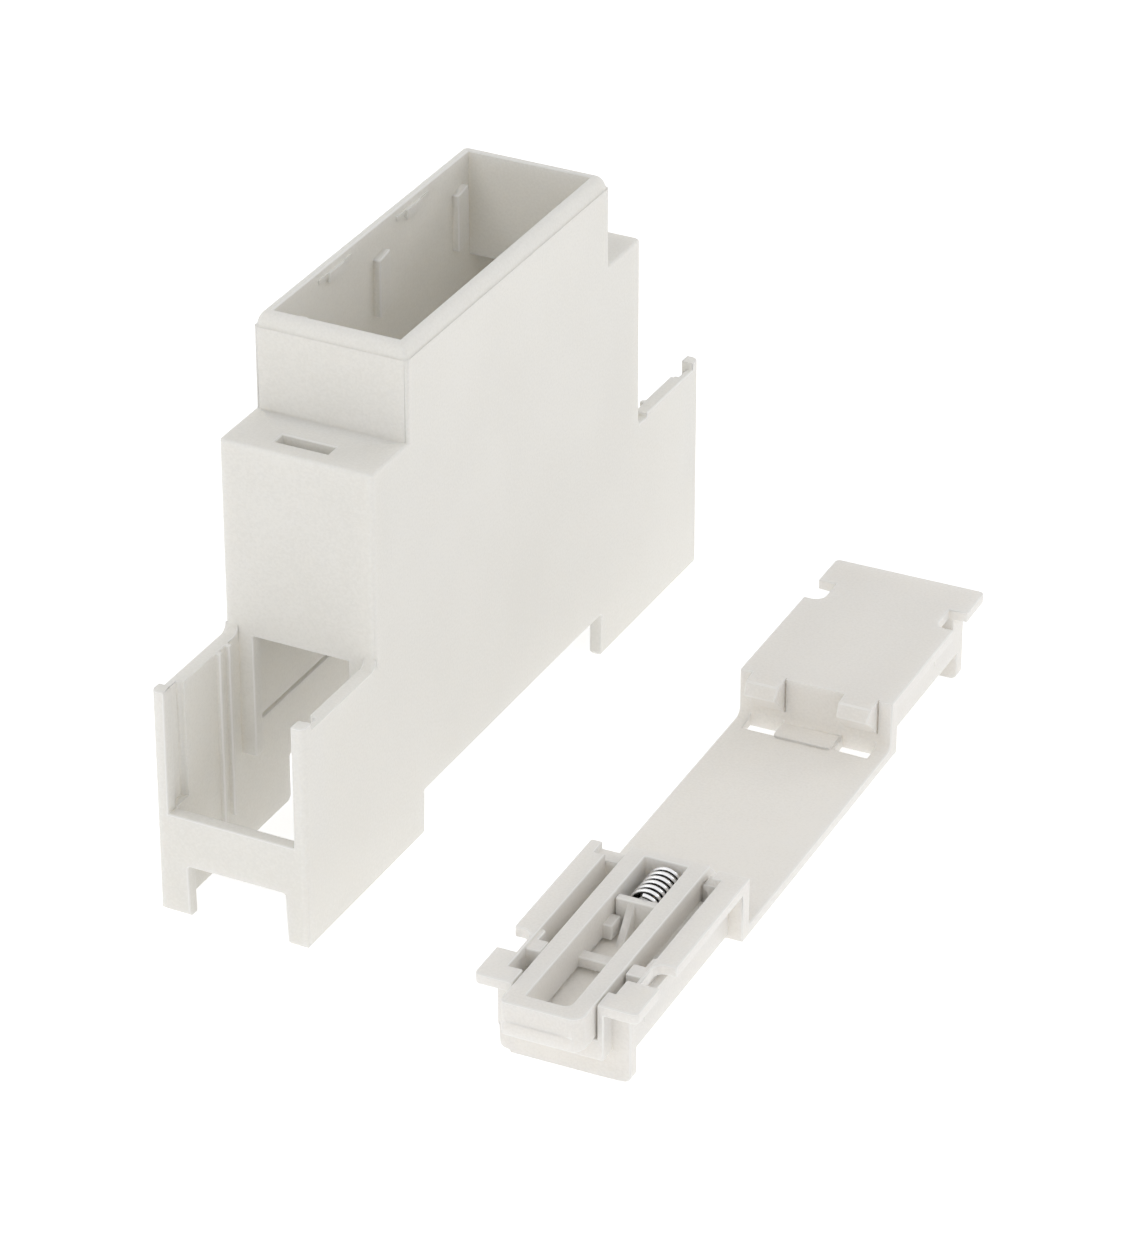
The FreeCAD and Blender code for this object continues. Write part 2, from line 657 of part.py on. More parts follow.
def hooks():
    """Two fixed hooks over the far edge of the rail, with sloping undersides."""
    lip = RAIL_SPACE_END - HOOK_REACH
    outline = [
        (RAIL_SPACE_END + FIT, FOOT_HEIGHT),
        (RAIL_SPACE_END, FOOT_HEIGHT),
        (RAIL_SPACE_END - HOOK_TOP_LENGTH, FOOT_HEIGHT - HOOK_TOP_DROP),
        (lip, HOOK_LIP_BOTTOM),
        (lip + HOOK_LIP_THICKNESS, HOOK_LIP_BOTTOM - HOOK_SIDE_CHAMFER),
        (RAIL_SPACE_END, HOOK_BOTTOM),
        (RAIL_SPACE_END + FIT, HOOK_BOTTOM)]
    shapes = []
    for left in hook_lefts():
        right = left + HOOK_WIDTH
        hook = prism_x(outline, (left, right))
        chamfer = [
            (right - HOOK_SIDE_CHAMFER, lip - PAST),
            (right + PAST, lip - PAST),
            (right + PAST, lip + HOOK_SIDE_CHAMFER + PAST),
            (right, lip + HOOK_SIDE_CHAMFER * 2),
            (right - HOOK_SIDE_CHAMFER, lip)]
        shapes.append(hook.cut(prism_z(chamfer, (0, FOOT_HEIGHT + PAST))))
    return shapes


def hook_windows():
    """Openings in the rail seat under each hook, and the relief beside each hook."""
    cuts = []
    for left in hook_lefts():
        x = (left, left + HOOK_WIDTH)
        cuts.append(block(
            x, (RAIL_SPACE_END - HOOK_WINDOW_LENGTH, RAIL_SPACE_END - FIT),
            (SEAT_LEVEL - FLANGE - PAST, SEAT_LEVEL + PAST)))
        relief = (x[1], x[1] + HOOK_RELIEF)
        cuts.append(block(
            relief, (RAIL_SPACE_END - PAST, RAIL_SPACE_END + HOOK_RELIEF * 2),
            (HOOK_BOTTOM, FOOT_HEIGHT + PAST)))
    return cuts


def seat_pad():
    """Low pad on the rail seat between the hooks."""
    left, right = hook_lefts()
    x = (left + HOOK_WIDTH, right - HOOK_SIDE_CHAMFER)
    y = (RAIL_SPACE_END - PAD_LENGTH, RAIL_SPACE_END + FIT)
    z = (SEAT_LEVEL - FIT, SEAT_LEVEL + PAD_HEIGHT)
    return prism_z(rectangle(x, y), z, {0: PAD_RADIUS, 1: PAD_RADIUS})


def rail_foot():
    near_plate = (PLATE_START, PLATE_START + END_PLATE)
    far_plate = (FOOT_LENGTH - near_plate[1], FOOT_LENGTH - near_plate[0])
    foot = stepped_flange().fuse(skirts() + [end_plate(near_plate), end_plate(far_plate)] + cradle())
    foot = foot.cut(flange_corners() + cradle_room() + far_ledges() + [ejector_mark()])
    foot = foot.fuse(latch_guides() + spring_seat() + hooks() + [seat_pad()])
    recess = block(
        (0, PLATE_RECESS_LEFT), (PLATE_START - PAST, PLATE_START + PLATE_RECESS),
        (-PAST, PLATE_RECESS_TOP))
    return foot.cut(hook_windows() + [recess]).removeSplitter()


def latch_nose(x, z):
    """Sloping nose that holds the near edge of the rail."""
    tip = WINDOW_END + NOSE_REACH
    land = WINDOW_END + NOSE_LAND
    outline = [
        (land - FIT, z[0]), (tip, z[0]), (tip, z[0] + NOSE_TIP_HEIGHT), (land, z[1]), (land - FIT, z[1])]
    return prism_x(outline, x, {1: NOSE_TIP_RADIUS, 2: NOSE_TIP_RADIUS})


def rail_latch():
    """Sliding frame with a push head at one end and a sloping nose at the other."""
    z = (LATCH_BOTTOM, FOOT_HEIGHT)
    x = (LATCH_LEFT, LATCH_RIGHT)
    inner = (x[0] + SIDE_BAR, x[1] - SIDE_BAR)
    plan = rectangle(x, (-HEAD_REACH, WINDOW_END + NOSE_LAND))
    frame = prism_z(plan, z, {0: HEAD_RADIUS / 2, 1: HEAD_RADIUS})
    radii = {0: WINDOW_RADIUS, 1: WINDOW_NEAR_RADIUS, 2: WINDOW_RADIUS, 3: WINDOW_RADIUS}
    window = prism_z(
        rectangle(inner, (HEAD_BAR - HEAD_REACH, WINDOW_END)), (z[0] - PAST, z[1] + PAST), radii)
    wings = block(
        (x[0] - WING_REACH, x[1] + WING_REACH), (WING_START, WING_END), (z[0], WING_TOP))
    latch = frame.fuse([latch_nose(x, z), wings]).cut(window)
    lower_front = block(
        (x[0] - PAST, x[1] + PAST), (-HEAD_REACH - PAST, HEAD_STEP_DEPTH - HEAD_REACH),
        (z[0] - PAST, z[0] + HEAD_STEP_HEIGHT))
    cross_bar = block(
        (inner[0] - FIT, inner[1] + FIT), (CROSS_BAR_START, CROSS_BAR_START + CROSS_BAR_WIDTH),
        (z[0], z[0] + CROSS_BAR_HEIGHT))
    lug = block(
        (inner[0] - FIT, inner[0] + LUG_WIDTH), (LUG_START, LUG_START + LUG_LENGTH),
        (z[0], z[0] + LUG_HEIGHT))
    inside = [cross_bar, lug, spigot_at(WINDOW_END + FIT, -1)]
    return latch.cut(lower_front).fuse(inside).removeSplitter()


def wire_section(coil_radius, slope, turn, rise):
    """The spring wire's section after so many degrees of turn and so much rise."""
    points = []
    for k in range(WIRE_SIDES):
        angle = 2 * math.pi * (k + 0.5) / WIRE_SIDES
        out = WIRE_RADIUS * math.cos(angle)
        up = WIRE_RADIUS * math.sin(angle)
        points.append(Vector(coil_radius + out, -up * math.sin(slope), up * math.cos(slope)))
    section = Part.makePolygon(points + [points[0]])
    section.rotate(Vector(0, 0, 0), Vector(0, 0, 1), turn)
    section.translate(Vector(0, 0, rise))
    return section


def latch_spring():
    """Compression spring between the foot's seat and the latch's rear bar."""
    coil_radius = SPRING_OUTER_RADIUS - WIRE_RADIUS
    length = WINDOW_END - SEAT_FACE - 2 * WIRE_RADIUS - STOP_GAP
    pitch = length / SPRING_TURNS
    slope = math.atan2(pitch, 2 * math.pi * coil_radius)
    sections = []
    for k in range(int(SPRING_TURNS * SPRING_STEPS) + 1):
        turns = k / SPRING_STEPS
        sections.append(wire_section(coil_radius, slope, 360 * turns, pitch * turns))
    coil = Part.makeLoft(sections, True, True)
    coil.rotate(Vector(0, 0, 0), Vector(1, 0, 0), -90)
    coil.translate(Vector(SPRING_MIDDLE, SEAT_FACE + WIRE_RADIUS + STOP_GAP / 2, SPRING_HEIGHT))
    return coil


def build():
    """Every piece in its place, with the origin under the middle of the pair."""
    parts = {
        "housing_shell": housing_shell(),
        "rail_foot": rail_foot(),
        "rail_latch": rail_latch(),
        "latch_spring": latch_spring()}
    for name in ("rail_foot", "rail_latch", "latch_spring"):
        parts[name].rotate(Vector(0, 0, 0), Vector(0, 0, 1), FOOT_TURN)
        parts[name].translate(Vector(FOOT_X, FOOT_Y, 0))
    box = Part.makeCompound(list(parts.values())).optimalBoundingBox(False)
    for shape in parts.values():
        shape.translate(Vector(-box.Center.x, -box.Center.y, -box.ZMin))
    return parts


def main():
    os.makedirs("parts", exist_ok=True)
    for name, shape in build().items():
        solids = shape.Solids
        print(name, len(solids), "solid", round(shape.Volume, 1), "mm3", shape.isValid(), shape.BoundBox)
        whole = solids[0] if len(solids) == 1 else Part.makeCompound(solids)
        whole.exportStep("parts/" + name + ".step")


main()
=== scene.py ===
import math

import bmesh
import bpy
from mathutils import Matrix, Vector


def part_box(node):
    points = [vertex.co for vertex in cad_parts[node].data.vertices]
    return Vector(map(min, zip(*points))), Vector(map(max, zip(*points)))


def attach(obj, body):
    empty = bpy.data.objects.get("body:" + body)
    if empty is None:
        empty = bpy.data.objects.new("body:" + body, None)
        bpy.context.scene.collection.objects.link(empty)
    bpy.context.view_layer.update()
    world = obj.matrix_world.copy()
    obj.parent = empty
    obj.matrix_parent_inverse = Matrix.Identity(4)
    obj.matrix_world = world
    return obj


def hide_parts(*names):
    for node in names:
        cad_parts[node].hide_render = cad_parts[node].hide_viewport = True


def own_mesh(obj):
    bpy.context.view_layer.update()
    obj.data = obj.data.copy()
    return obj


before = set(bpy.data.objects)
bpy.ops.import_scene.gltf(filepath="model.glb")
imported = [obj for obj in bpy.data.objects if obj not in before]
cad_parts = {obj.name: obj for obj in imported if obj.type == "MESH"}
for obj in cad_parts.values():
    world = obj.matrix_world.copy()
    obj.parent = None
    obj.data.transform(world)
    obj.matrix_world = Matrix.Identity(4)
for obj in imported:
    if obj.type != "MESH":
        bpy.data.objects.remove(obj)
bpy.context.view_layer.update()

MM = 0.001

# Camera: the photograph's viewing angle, fitted to the housing
VIEW_AZIMUTH = math.radians(26.891)
VIEW_ELEVATION = math.radians(29.896)
VIEW_ROLL = math.radians(-0.065)
VIEW_DISTANCE = 573.47 * MM
VIEW_CENTRE = Vector((-5.0, 5.81, 17.6)) * MM
LENS_LENGTH = 159.02
SENSOR_SIZE = 36.0
NEAREST_SEEN = 0.01

# Stage and light
FLOOR_SIZE = 4.0
FLOOR_TONE = (0.86, 0.86, 0.86, 1.0)
FLOOR_GLOW = 0.20
TABLE_LIGHT = 0.42
SKY_LIGHT = 0.66
BACKDROP_LIGHT = 1.0
WHITE = (1.0, 1.0, 1.0, 1.0)
LAMP_DISTANCE = 1.2

# Each lamp's azimuth and elevation in degrees, its size in metres and its power in watts
LAMPS = {
    "window_right": (70, 25, 1.0, 0.1),
    "window_front": (-10, 30, 1.0, 0.3),
    "rim_back": (147, 25, 0.3, 1.2),
    "rim_top": (-38, 52, 0.3, 1.1)}

# Finish of the moulded pieces, and the painted highlight along their edges
HOUSING_LIGHT = (0.865, 0.848, 0.805, 1.0)
HOUSING_DARK = (0.825, 0.808, 0.765, 1.0)
FOOT_LIGHT = (0.880, 0.856, 0.818, 1.0)
FOOT_DARK = (0.838, 0.814, 0.776, 1.0)
# Lighter colour of the edge radius faces: a painted highlight along the edges
EDGE_HIGHLIGHT_TONE = (0.930, 0.915, 0.885, 1.0)
EDGE_WIDTH = 0.15 * MM
EDGE_ROOM = 0.40 * MM
CORNER_ANGLE = math.radians(50)
STRAIGHT_ON = math.cos(math.radians(145))
MERGE_DISTANCE = 0.002 * MM
SAME_LEVEL = 0.01 * MM
FLAT_ANGLE = math.radians(0.2)
SMOOTH_ANGLE = math.radians(36)

# Housing: its near left corner on the floor, and the ledge round its nose
HOUSING_CORNER = Vector((-29.18832, -39.02031, 0)) * MM
HOUSING_WIDTH = 17.5 * MM
HOUSING_LENGTH = 90.0 * MM
CREASE_HEIGHT = 56.5 * MM

# Board ribs: how far in from the outside and from the end they stand, and how far they move
RIB_ROOM = (1.46 * MM, 2.04 * MM)
RIB_SPAN = (8.5 * MM, 11.2 * MM)
RIB_FOOT = 4.8 * MM
RIB_SHIFT = 1.8 * MM

# Rib tops on the near bay's right wall, as x, y and z ranges from the housing's corner in mm
RIB_ENDS = (((15.40, 15.98), (8.50, 11.20), (24.30, 25.40)),)

# Dips in the side walls beside the middle tier's far end
DIP_START = 75.0 * MM
DIP_FLOOR = 24.3 * MM
DIP_RISE = 0.45 * MM

# Foot: its near left corner, and how it lies
FOOT_TURN = math.radians(1.6)
FOOT_CORNER = Vector((11.7117, -47.8203, 0)) * MM
ALONG_FOOT = Vector((-math.sin(FOOT_TURN), math.cos(FOOT_TURN), 0))

# Near edges of the windows under the hooks
WINDOW_EDGE = 61.4 * MM
WINDOW_SHIFT = 0.25 * MM

# Thin webs under the foot's notches, as x, y and z ranges from the foot's corner in mm
FOOT_WEBS = (
    ((1.55, 2.45), (5.10, 10.50), (5.30, 8.60)),
    ((15.05, 15.95), (5.10, 10.50), (5.30, 7.60)),
    ((1.55, 2.45), (80.30, 85.70), (5.30, 7.30)),
    ((15.05, 15.95), (80.30, 85.70), (5.30, 7.30)))

# Spring
SPRING_TURNS = 6.5
SPRING_STEPS = 312
WIRE_RADIUS = 0.24 * MM
WIRE_SIDES = 12
WIRE_SMOOTH_ANGLE = math.radians(40)


def deselect():
    bpy.ops.object.select_all(action="DESELECT")


def make_active(piece):
    deselect()
    piece.select_set(True)
    bpy.context.view_layer.objects.active = piece


def set_camera():
    back = Vector((
        math.sin(VIEW_AZIMUTH) * math.cos(VIEW_ELEVATION),
        -math.cos(VIEW_AZIMUTH) * math.cos(VIEW_ELEVATION),
        math.sin(VIEW_ELEVATION)))
    data = bpy.data.cameras.new("photo_camera")
    data.lens = LENS_LENGTH
    data.sensor_width = SENSOR_SIZE
    data.clip_start = NEAREST_SEEN
    camera = bpy.data.objects.new("photo_camera", data)
    bpy.context.scene.collection.objects.link(camera)
    turn = back.to_track_quat("Z", "Y").to_matrix().to_4x4()
    stand = Matrix.Translation(VIEW_CENTRE + back * VIEW_DISTANCE)
    camera.matrix_world = stand @ turn @ Matrix.Rotation(VIEW_ROLL, 4, "Z")
    bpy.context.scene.camera = camera


def seen_by_camera(nodes, links):
    """1 where a ray comes straight from the camera, a reflection or a glass."""
    path = nodes.new("ShaderNodeLightPath")
    reflected = nodes.new("ShaderNodeMath")
    reflected.operation = "MAXIMUM"
    either = nodes.new("ShaderNodeMath")
    either.operation = "MAXIMUM"
    links.new(path.outputs["Is Glossy Ray"], reflected.inputs[0])
    links.new(path.outputs["Is Transmission Ray"], reflected.inputs[1])
    links.new(path.outputs["Is Camera Ray"], either.inputs[0])
    links.new(reflected.outputs[0], either.inputs[1])
    return either.outputs[0]


def floor_paper():
    """White paper on a light table, with a little more glow where the camera sees it."""
    material = bpy.data.materials.new("floor_paper")
    material.use_nodes = True
    nodes, links = material.node_tree.nodes, material.node_tree.links
    nodes.clear()
    output = nodes.new("ShaderNodeOutputMaterial")
    paper = nodes.new("ShaderNodeBsdfDiffuse")
    paper.inputs["Color"].default_value = FLOOR_TONE
    glow = nodes.new("ShaderNodeEmission")
    glow.inputs["Color"].default_value = WHITE
    glow.inputs["Strength"].default_value = FLOOR_GLOW
    table = nodes.new("ShaderNodeEmission")
    table.inputs["Color"].default_value = WHITE
    table.inputs["Strength"].default_value = TABLE_LIGHT
    lit = nodes.new("ShaderNodeAddShader")
    both = nodes.new("ShaderNodeAddShader")
    choice = nodes.new("ShaderNodeMixShader")
    links.new(paper.outputs[0], lit.inputs[0])
    links.new(table.outputs[0], lit.inputs[1])
    links.new(lit.outputs[0], both.inputs[0])
    links.new(glow.outputs[0], both.inputs[1])
    links.new(seen_by_camera(nodes, links), choice.inputs[0])
    links.new(lit.outputs[0], choice.inputs[1])
    links.new(both.outputs[0], choice.inputs[2])
    links.new(choice.outputs[0], output.inputs["Surface"])
    return material


def set_floor():
    deselect()
    bpy.ops.mesh.primitive_plane_add(size=FLOOR_SIZE)
    floor = bpy.context.object
    floor.name = "floor"
    floor.data.materials.append(floor_paper())


def set_sky():
    world = bpy.data.worlds.new("studio_sky")
    world.use_nodes = True
    bpy.context.scene.world = world
    nodes, links = world.node_tree.nodes, world.node_tree.links
    nodes.clear()
    output = nodes.new("ShaderNodeOutputWorld")
    light = nodes.new("ShaderNodeBackground")
    light.inputs["Color"].default_value = WHITE
    light.inputs["Strength"].default_value = SKY_LIGHT
    backdrop = nodes.new("ShaderNodeBackground")
    backdrop.inputs["Color"].default_value = WHITE
    backdrop.inputs["Strength"].default_value = BACKDROP_LIGHT
    choice = nodes.new("ShaderNodeMixShader")
    links.new(seen_by_camera(nodes, links), choice.inputs[0])
    links.new(light.outputs[0], choice.inputs[1])
    links.new(backdrop.outputs[0], choice.inputs[2])
    links.new(choice.outputs[0], output.inputs["Surface"])


def add_softbox(name, azimuth, elevation, size, power):
    """Square lamp that faces the object's middle."""
    data = bpy.data.lights.new(name, "AREA")
    data.size = size
    data.energy = power
    lamp = bpy.data.objects.new(name, data)
    bpy.context.scene.collection.objects.link(lamp)
    a, e = math.radians(azimuth), math.radians(elevation)
    towards = Vector((math.sin(a) * math.cos(e), -math.cos(a) * math.cos(e), math.sin(e)))
    turn = towards.to_track_quat("Z", "Y").to_matrix().to_4x4()
    lamp.matrix_world = Matrix.Translation(towards * LAMP_DISTANCE) @ turn


def set_lamps():
    for name, (azimuth, elevation, size, power) in LAMPS.items():
        add_softbox(name, azimuth, elevation, size, power)


def moulded_plastic(name, light, dark, roughness, grain):
    """Spark-eroded plastic: faint cloudy tone, fine grain, and the slow sink of moulded walls."""
    material = bpy.data.materials.new(name)
    material.use_nodes = True
    nodes, links = material.node_tree.nodes, material.node_tree.links
    shader = nodes["Principled BSDF"]
    shader.inputs["Roughness"].default_value = roughness
    shader.inputs["Specular IOR Level"].default_value = 0.35
    shader.inputs["Subsurface Weight"].default_value = 0.55
    shader.inputs["Subsurface Scale"].default_value = 1.8 * MM
    shader.inputs["Subsurface Radius"].default_value = (1.0, 0.96, 0.9)
    place = nodes.new("ShaderNodeTexCoord")

    cloud = nodes.new("ShaderNodeTexNoise")
    cloud.inputs["Scale"].default_value = 60.0
    cloud.inputs["Detail"].default_value = 3.0
    speck = nodes.new("ShaderNodeTexNoise")
    speck.inputs["Scale"].default_value = 3600.0
    speck.inputs["Detail"].default_value = 2.0
    tones = nodes.new("ShaderNodeMix")
    tones.data_type = "FLOAT"
    tones.inputs["Factor"].default_value = 0.60
    colours = nodes.new("ShaderNodeValToRGB")
    colours.color_ramp.elements[0].position = 0.40
    colours.color_ramp.elements[0].color = dark
    colours.color_ramp.elements[1].position = 0.60
    colours.color_ramp.elements[1].color = light
    links.new(place.outputs["Object"], cloud.inputs["Vector"])
    links.new(place.outputs["Object"], speck.inputs["Vector"])
    links.new(cloud.outputs["Fac"], tones.inputs["A"])
    links.new(speck.outputs["Fac"], tones.inputs["B"])
    links.new(tones.outputs["Result"], colours.inputs["Fac"])
    links.new(colours.outputs["Color"], shader.inputs["Base Color"])

    grit = nodes.new("ShaderNodeTexNoise")
    grit.inputs["Scale"].default_value = 5200.0
    grit.inputs["Detail"].default_value = 3.0
    sink = nodes.new("ShaderNodeTexNoise")
    sink.inputs["Scale"].default_value = 90.0
    fine = nodes.new("ShaderNodeBump")
    fine.inputs["Strength"].default_value = grain
    fine.inputs["Distance"].default_value = 0.02 * MM
    broad = nodes.new("ShaderNodeBump")
    broad.inputs["Strength"].default_value = 0.25
    broad.inputs["Distance"].default_value = 0.12 * MM
    links.new(place.outputs["Object"], grit.inputs["Vector"])
    links.new(place.outputs["Object"], sink.inputs["Vector"])
    links.new(grit.outputs["Fac"], fine.inputs["Height"])
    links.new(sink.outputs["Fac"], broad.inputs["Height"])
    links.new(broad.outputs["Normal"], fine.inputs["Normal"])
    links.new(fine.outputs["Normal"], shader.inputs["Normal"])
    return material


def painted_edge_highlight():
    """Smoother plastic on the edge radius, its lighter colour a painted highlight along every
    rounded edge.
    """
    material = bpy.data.materials.new("painted_edge_highlight")
    material.use_nodes = True
    nodes, links = material.node_tree.nodes, material.node_tree.links
    shader = nodes["Principled BSDF"]
    # Painted highlight: the edge faces get a lighter colour than the plastic
    shader.inputs["Base Color"].default_value = EDGE_HIGHLIGHT_TONE
    place = nodes.new("ShaderNodeTexCoord")
    rub = nodes.new("ShaderNodeTexNoise")
    rub.inputs["Scale"].default_value = 400.0
    spread = nodes.new("ShaderNodeMapRange")
    spread.inputs["To Min"].default_value = 0.25
    spread.inputs["To Max"].default_value = 0.42
    links.new(place.outputs["Object"], rub.inputs["Vector"])
    links.new(rub.outputs["Fac"], spread.inputs["Value"])
    links.new(spread.outputs["Result"], shader.inputs["Roughness"])
    return material


def drawn_steel_painted_shade():
    """Bright spring wire with faint drawing marks, and painted shade: near black on the inner side
    of the coils.
    """
    material = bpy.data.materials.new("drawn_steel_painted_shade")
    material.use_nodes = True
    nodes, links = material.node_tree.nodes, material.node_tree.links
    shader = nodes["Principled BSDF"]
    shader.inputs["Metallic"].default_value = 1.0
    coil_shade_mask = nodes.new("ShaderNodeAttribute")
    coil_shade_mask.attribute_name = "coil_shade_mask"
    tones = nodes.new("ShaderNodeValToRGB")
    # Painted shade: the wire turns near black on its inner side, towards the coil's axis
    tones.color_ramp.elements[0].position = 0.45
    tones.color_ramp.elements[0].color = (0.015, 0.015, 0.016, 1.0)
    tones.color_ramp.elements[1].position = 0.72
    tones.color_ramp.elements[1].color = (0.86, 0.86, 0.87, 1.0)
    links.new(coil_shade_mask.outputs["Fac"], tones.inputs["Fac"])
    links.new(tones.outputs["Color"], shader.inputs["Base Color"])
    place = nodes.new("ShaderNodeTexCoord")
    marks = nodes.new("ShaderNodeTexNoise")
    marks.inputs["Scale"].default_value = 3000.0
    spread = nodes.new("ShaderNodeMapRange")
    spread.inputs["To Min"].default_value = 0.16
    spread.inputs["To Max"].default_value = 0.34
    links.new(place.outputs["Object"], marks.inputs["Vector"])
    links.new(marks.outputs["Fac"], spread.inputs["Value"])
    links.new(spread.outputs["Result"], shader.inputs["Roughness"])
    return material


def has_room(edge, chosen):
    """True where the edge radius runs into nothing: no short side edge and no narrow face."""
    for corner in edge.verts:
        onward = (edge.other_vert(corner).co - corner.co).normalized()
        for other in corner.link_edges:
            if other is edge:
                continue
            reach = other.other_vert(corner).co - corner.co
            if other in chosen and reach.normalized().dot(onward) < STRAIGHT_ON:
                continue
            if reach.length < EDGE_ROOM:
                return False
    start = edge.verts[0].co
    along = (edge.verts[1].co - start).normalized()
    for face in edge.link_faces:
        across = face.normal.cross(along)
        spread = [(corner.co - start).dot(across) for corner in face.verts]
        if max(spread) - min(spread) < EDGE_ROOM:
            return False
    return True


def mark_round_edges(mesh):
    """Gives a bevel weight to each outward edge that has room for the mould's edge radius."""
    shape = bmesh.new()
    shape.from_mesh(mesh)
    weight = shape.edges.layers.float.new("bevel_weight_edge")
    chosen = {
        edge for edge in shape.edges
        if len(edge.link_faces) == 2 and edge.calc_face_angle_signed(0) > CORNER_ANGLE}
    tight = True
    while tight:
        tight = [edge for edge in chosen if not has_room(edge, chosen)]
        chosen.difference_update(tight)
    for edge in chosen:
        edge[weight] = 1.0
    shape.to_mesh(mesh)
    shape.free()


def reshape(piece, boxes, operation, place):
    """Joins small boxes to a moulding's copy, or cuts them out of it."""
    for ranges in boxes:
        low, high = (Vector(ends) * MM for ends in zip(*ranges))
        deselect()
        bpy.ops.mesh.primitive_cube_add(size=1, location=(low + high) / 2, scale=high - low)
        tool = bpy.context.object
        bpy.ops.object.transform_apply(location=True, rotation=True, scale=True)
        tool.matrix_world = place
        bpy.ops.object.transform_apply(location=True, rotation=True, scale=True)
        make_active(piece)
        change = piece.modifiers.new("change", "BOOLEAN")
        change.operation = operation
        change.solver = "EXACT"
        change.object = tool
        bpy.ops.object.modifier_apply(modifier=change.name)
        bpy.data.objects.remove(tool)


def shift_board_ribs(mesh):
    """Moves the two pairs of board ribs in each bay towards the middle tier."""
    for corner in mesh.vertices:
        place = corner.co - HOUSING_CORNER
        from_side = min(place.x, HOUSING_WIDTH - place.x)
        from_end = min(place.y, HOUSING_LENGTH - place.y)
        on_wall = RIB_ROOM[0] < from_side < RIB_ROOM[1] and place.z > RIB_FOOT
        if on_wall and RIB_SPAN[0] < from_end < RIB_SPAN[1]:
            corner.co.y += RIB_SHIFT if place.y < HOUSING_LENGTH / 2 else -RIB_SHIFT


def raise_far_dips(mesh):
    """Halves the depth of the dips beside the middle tier's far end."""
    for corner in mesh.vertices:
        place = corner.co - HOUSING_CORNER
        if place.y > DIP_START - SAME_LEVEL and abs(place.z - DIP_FLOOR) < SAME_LEVEL:
            corner.co.z += DIP_RISE


def shorten_windows(mesh):
    """Moves the near edges of the windows under the hooks towards the hooks."""
    for corner in mesh.vertices:
        if abs((corner.co - FOOT_CORNER).dot(ALONG_FOOT) - WINDOW_EDGE) < SAME_LEVEL:
            corner.co += ALONG_FOOT * WINDOW_SHIFT


def leave_crease_ring(mesh):
    """Takes the narrow ledge round the nose out of the selection, because it has a hole."""
    shape = bmesh.from_edit_mesh(mesh)
    for face in shape.faces:
        middle = face.calc_center_median()
        if face.normal.z > 0.99 and abs(middle.z - CREASE_HEIGHT) < SAME_LEVEL:
            face.select_set(False)
    bmesh.update_edit_mesh(mesh)


def softened_copy(node, name, material, edge_highlight_material, body):
    """The moulding again, merged and with the small edge radius that every moulded edge has."""
    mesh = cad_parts[node].data.copy()
    piece = bpy.data.objects.new(name, mesh)
    bpy.context.scene.collection.objects.link(piece)
    make_active(piece)
    bpy.ops.object.mode_set(mode="EDIT")
    bpy.ops.mesh.select_all(action="SELECT")
    bpy.ops.mesh.remove_doubles(threshold=MERGE_DISTANCE)
    bpy.ops.object.mode_set(mode="OBJECT")
    if node == "rail_foot":
        lie = Matrix.Translation(FOOT_CORNER) @ Matrix.Rotation(FOOT_TURN, 4, "Z")
        reshape(piece, FOOT_WEBS, "UNION", lie)
    if node == "housing_shell":
        reshape(piece, RIB_ENDS, "DIFFERENCE", Matrix.Translation(HOUSING_CORNER))
    bpy.ops.object.mode_set(mode="EDIT")
    bpy.ops.mesh.select_all(action="SELECT")
    bpy.ops.mesh.remove_doubles(threshold=MERGE_DISTANCE)
    bpy.ops.mesh.select_mode(type="FACE")
    leave_crease_ring(mesh)
    bpy.ops.mesh.dissolve_limited(angle_limit=FLAT_ANGLE)
    bpy.ops.mesh.select_mode(type="VERT")
    bpy.ops.object.mode_set(mode="OBJECT")
    if node == "rail_foot":
        shorten_windows(mesh)
    if node == "housing_shell":
        shift_board_ribs(mesh)
        raise_far_dips(mesh)
    mark_round_edges(mesh)
    edge = piece.modifiers.new("edge_radius", "BEVEL")
    edge.width = EDGE_WIDTH
    edge.segments = 2
    edge.limit_method = "WEIGHT"
    edge.use_clamp_overlap = False
    # The bevel faces take the second material, the painted edge highlight
    edge.material = 1
    mesh.materials.clear()
    mesh.materials.append(material)
    mesh.materials.append(edge_highlight_material)
    bpy.ops.object.modifier_apply(modifier=edge.name)
    bpy.ops.object.shade_smooth_by_angle(angle=SMOOTH_ANGLE)
    flats = piece.modifiers.new("flat_faces", "WEIGHTED_NORMAL")
    flats.weight = 100
    flats.keep_sharp = True
    bpy.ops.object.modifier_apply(modifier=flats.name)
    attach(piece, body)
    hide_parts(node)


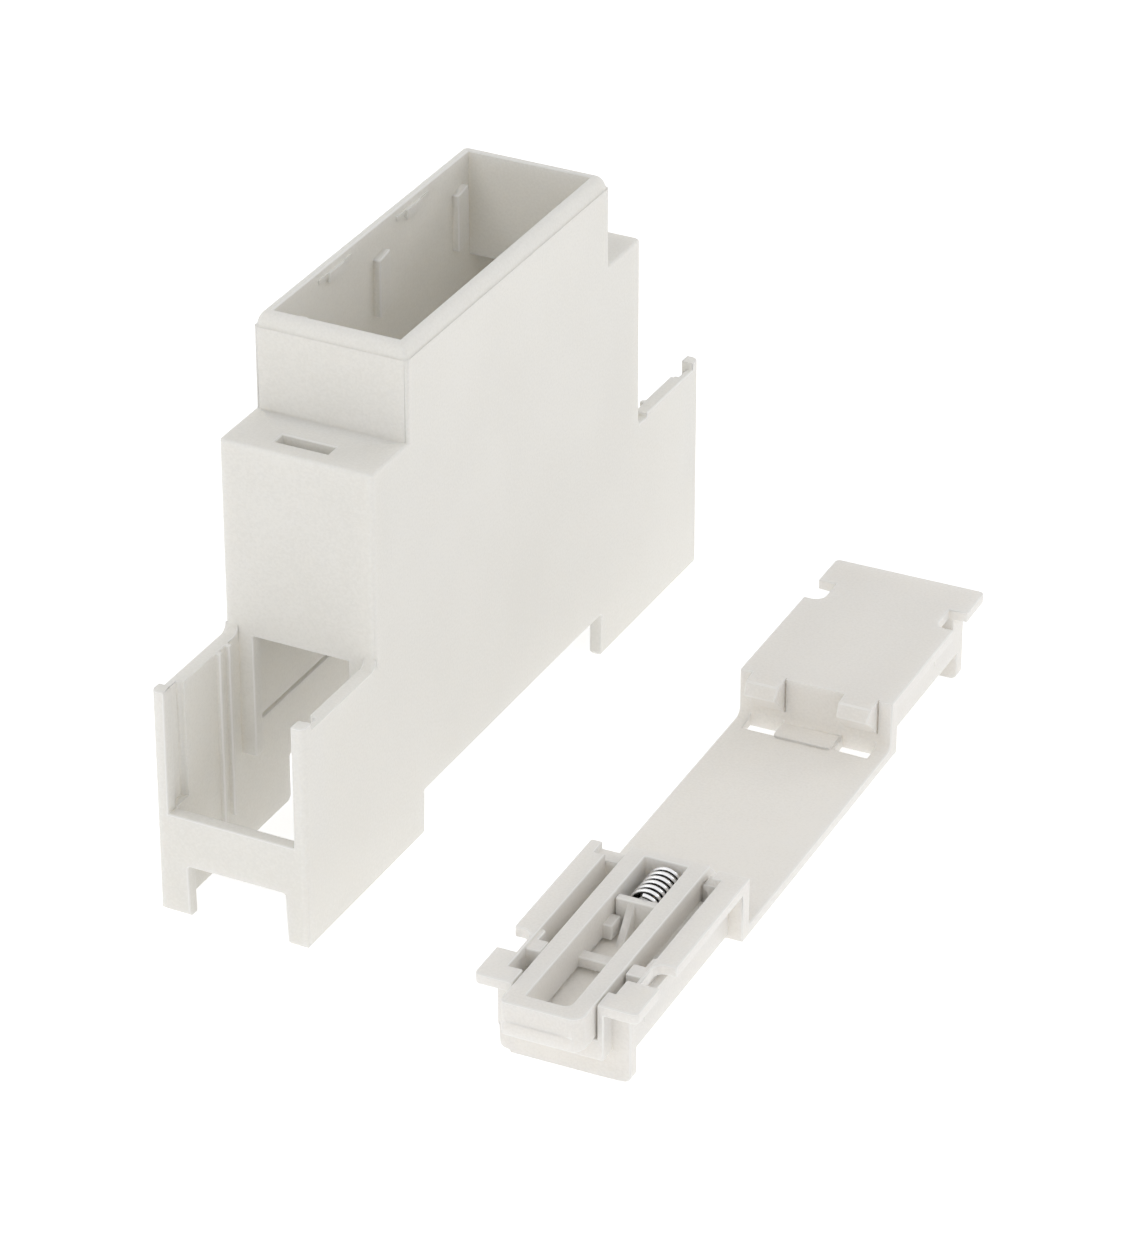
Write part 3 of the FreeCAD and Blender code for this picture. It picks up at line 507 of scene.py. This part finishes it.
def coil_spring():
    """Compression spring between the foot's seat and the latch's rear bar."""
    low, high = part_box("latch_spring")
    centre = (low + high) / 2
    outer = (high.z - low.z) / 2
    length = (high.y - low.y - 2 * outer * math.sin(FOOT_TURN)) / math.cos(FOOT_TURN)
    pitch = (length - 2 * WIRE_RADIUS) / SPRING_TURNS
    deselect()
    bpy.ops.mesh.primitive_circle_add(
        vertices=WIRE_SIDES, radius=WIRE_RADIUS, location=(outer - WIRE_RADIUS, 0, 0),
        rotation=(math.pi / 2, 0, 0))
    spring = bpy.context.object
    spring.name = "coil_spring"
    bpy.ops.object.transform_apply(location=True, rotation=True, scale=True)
    turns = spring.modifiers.new("turns", "SCREW")
    turns.axis = "Z"
    turns.angle = 2 * math.pi * SPRING_TURNS
    turns.screw_offset = pitch * SPRING_TURNS
    turns.steps = SPRING_STEPS
    turns.render_steps = SPRING_STEPS
    turns.use_normal_calculate = True
    bpy.ops.object.modifier_apply(modifier=turns.name)
    bpy.ops.object.mode_set(mode="EDIT")
    bpy.ops.mesh.select_all(action="DESELECT")
    bpy.ops.mesh.select_non_manifold()
    bpy.ops.mesh.edge_face_add()
    bpy.ops.mesh.select_all(action="SELECT")
    bpy.ops.mesh.normals_make_consistent(inside=False)
    bpy.ops.object.mode_set(mode="OBJECT")
    # How far out from the coil's axis each point lies, which the steel uses to paint shade on the
    # wire's inner side
    coil_shade_mask = spring.data.attributes.new("coil_shade_mask", "FLOAT", "POINT")
    for place in spring.data.vertices:
        from_axis = Vector((place.co.x, place.co.y)).length
        coil_shade_mask.data[place.index].value = (from_axis - outer + 2 * WIRE_RADIUS) / (2 * WIRE_RADIUS)
    start = centre - ALONG_FOOT * (length / 2 - WIRE_RADIUS)
    turn = ALONG_FOOT.to_track_quat("Z", "X").to_matrix().to_4x4()
    spring.matrix_world = Matrix.Translation(start) @ turn
    make_active(spring)
    bpy.ops.object.transform_apply(location=True, rotation=True, scale=True)
    bpy.ops.object.shade_smooth_by_angle(angle=WIRE_SMOOTH_ANGLE)
    spring.data.materials.append(drawn_steel_painted_shade())
    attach(spring, "set")
    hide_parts("latch_spring")
    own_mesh(spring)


def mould_pieces():
    housing = moulded_plastic(
        "housing_plastic", HOUSING_LIGHT, HOUSING_DARK, roughness=0.52, grain=0.55)
    foot = moulded_plastic("foot_plastic", FOOT_LIGHT, FOOT_DARK, roughness=0.50, grain=0.55)
    latch = moulded_plastic("latch_plastic", FOOT_LIGHT, FOOT_DARK, roughness=0.46, grain=0.25)
    # Material with the painted edge highlight, for the bevel faces
    edges = painted_edge_highlight()
    softened_copy("housing_shell", "housing_moulding", housing, edges, "set")
    softened_copy("rail_foot", "foot_moulding", foot, edges, "set")
    softened_copy("rail_latch", "latch_moulding", latch, edges, "latch")
    for node, material in (("housing_shell", housing), ("rail_foot", foot), ("rail_latch", latch)):
        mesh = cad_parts[node].data
        mesh.materials.clear()
        mesh.materials.append(material)


bpy.context.scene.view_settings.view_transform = "Standard"
set_camera()
set_floor()
set_sky()
set_lamps()
mould_pieces()
coil_spring()
